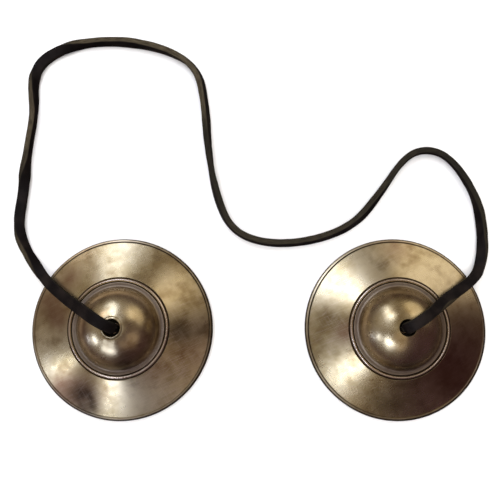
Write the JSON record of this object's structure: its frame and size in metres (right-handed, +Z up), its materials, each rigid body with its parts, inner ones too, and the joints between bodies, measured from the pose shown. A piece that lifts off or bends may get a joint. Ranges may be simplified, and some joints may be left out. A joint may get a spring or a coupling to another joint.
{
  "type": "pair of finger cymbals",
  "caption": "Pair of heavy domed bronze finger cymbals lying crown up, joined by a loose flat leather cord that is knotted under each crown.",
  "frame": {"origin": "on the table, midway between the two cymbals' axes, under the middle of the pair", "axes": "+X from the left cymbal to the right one, +Y towards the cord's loops, +Z up through the crowns"},
  "size_m": [0.1739, 0.1434, 0.0257],
  "materials": {
    "cymbal_bronze": "turned and polished cast bronze with a blotchy brown and olive patina",
    "thong_leather": "dark oiled leather thong, worn satin on its corners"
  },
  "bodies": {
    "cord": {"cord": "thong_leather", "right_knot": "thong_leather"},
    "right_cymbal": {"right_cymbal": "cymbal_bronze"},
    "left_knot": {"left_knot": "thong_leather"},
    "left_cymbal": {"left_cymbal": "cymbal_bronze"}
  },
  "joints": [
    {"name": "right_swivel", "type": "hinge", "parent": "cord", "child": "right_cymbal", "pos_m": [0.0491, 0, 0.0208], "axis": [0, 0, 1], "continuous": true},
    {"name": "strike", "type": "slide", "parent": "cord", "child": "left_knot", "axis": [1, 0, 0], "range_m": [0, 0.0329], "deforming": ["cord"]},
    {"name": "left_swivel", "type": "hinge", "parent": "left_knot", "child": "left_cymbal", "pos_m": [-0.0491, 0, 0.0208], "axis": [0, 0, 1], "continuous": true}
  ]
}
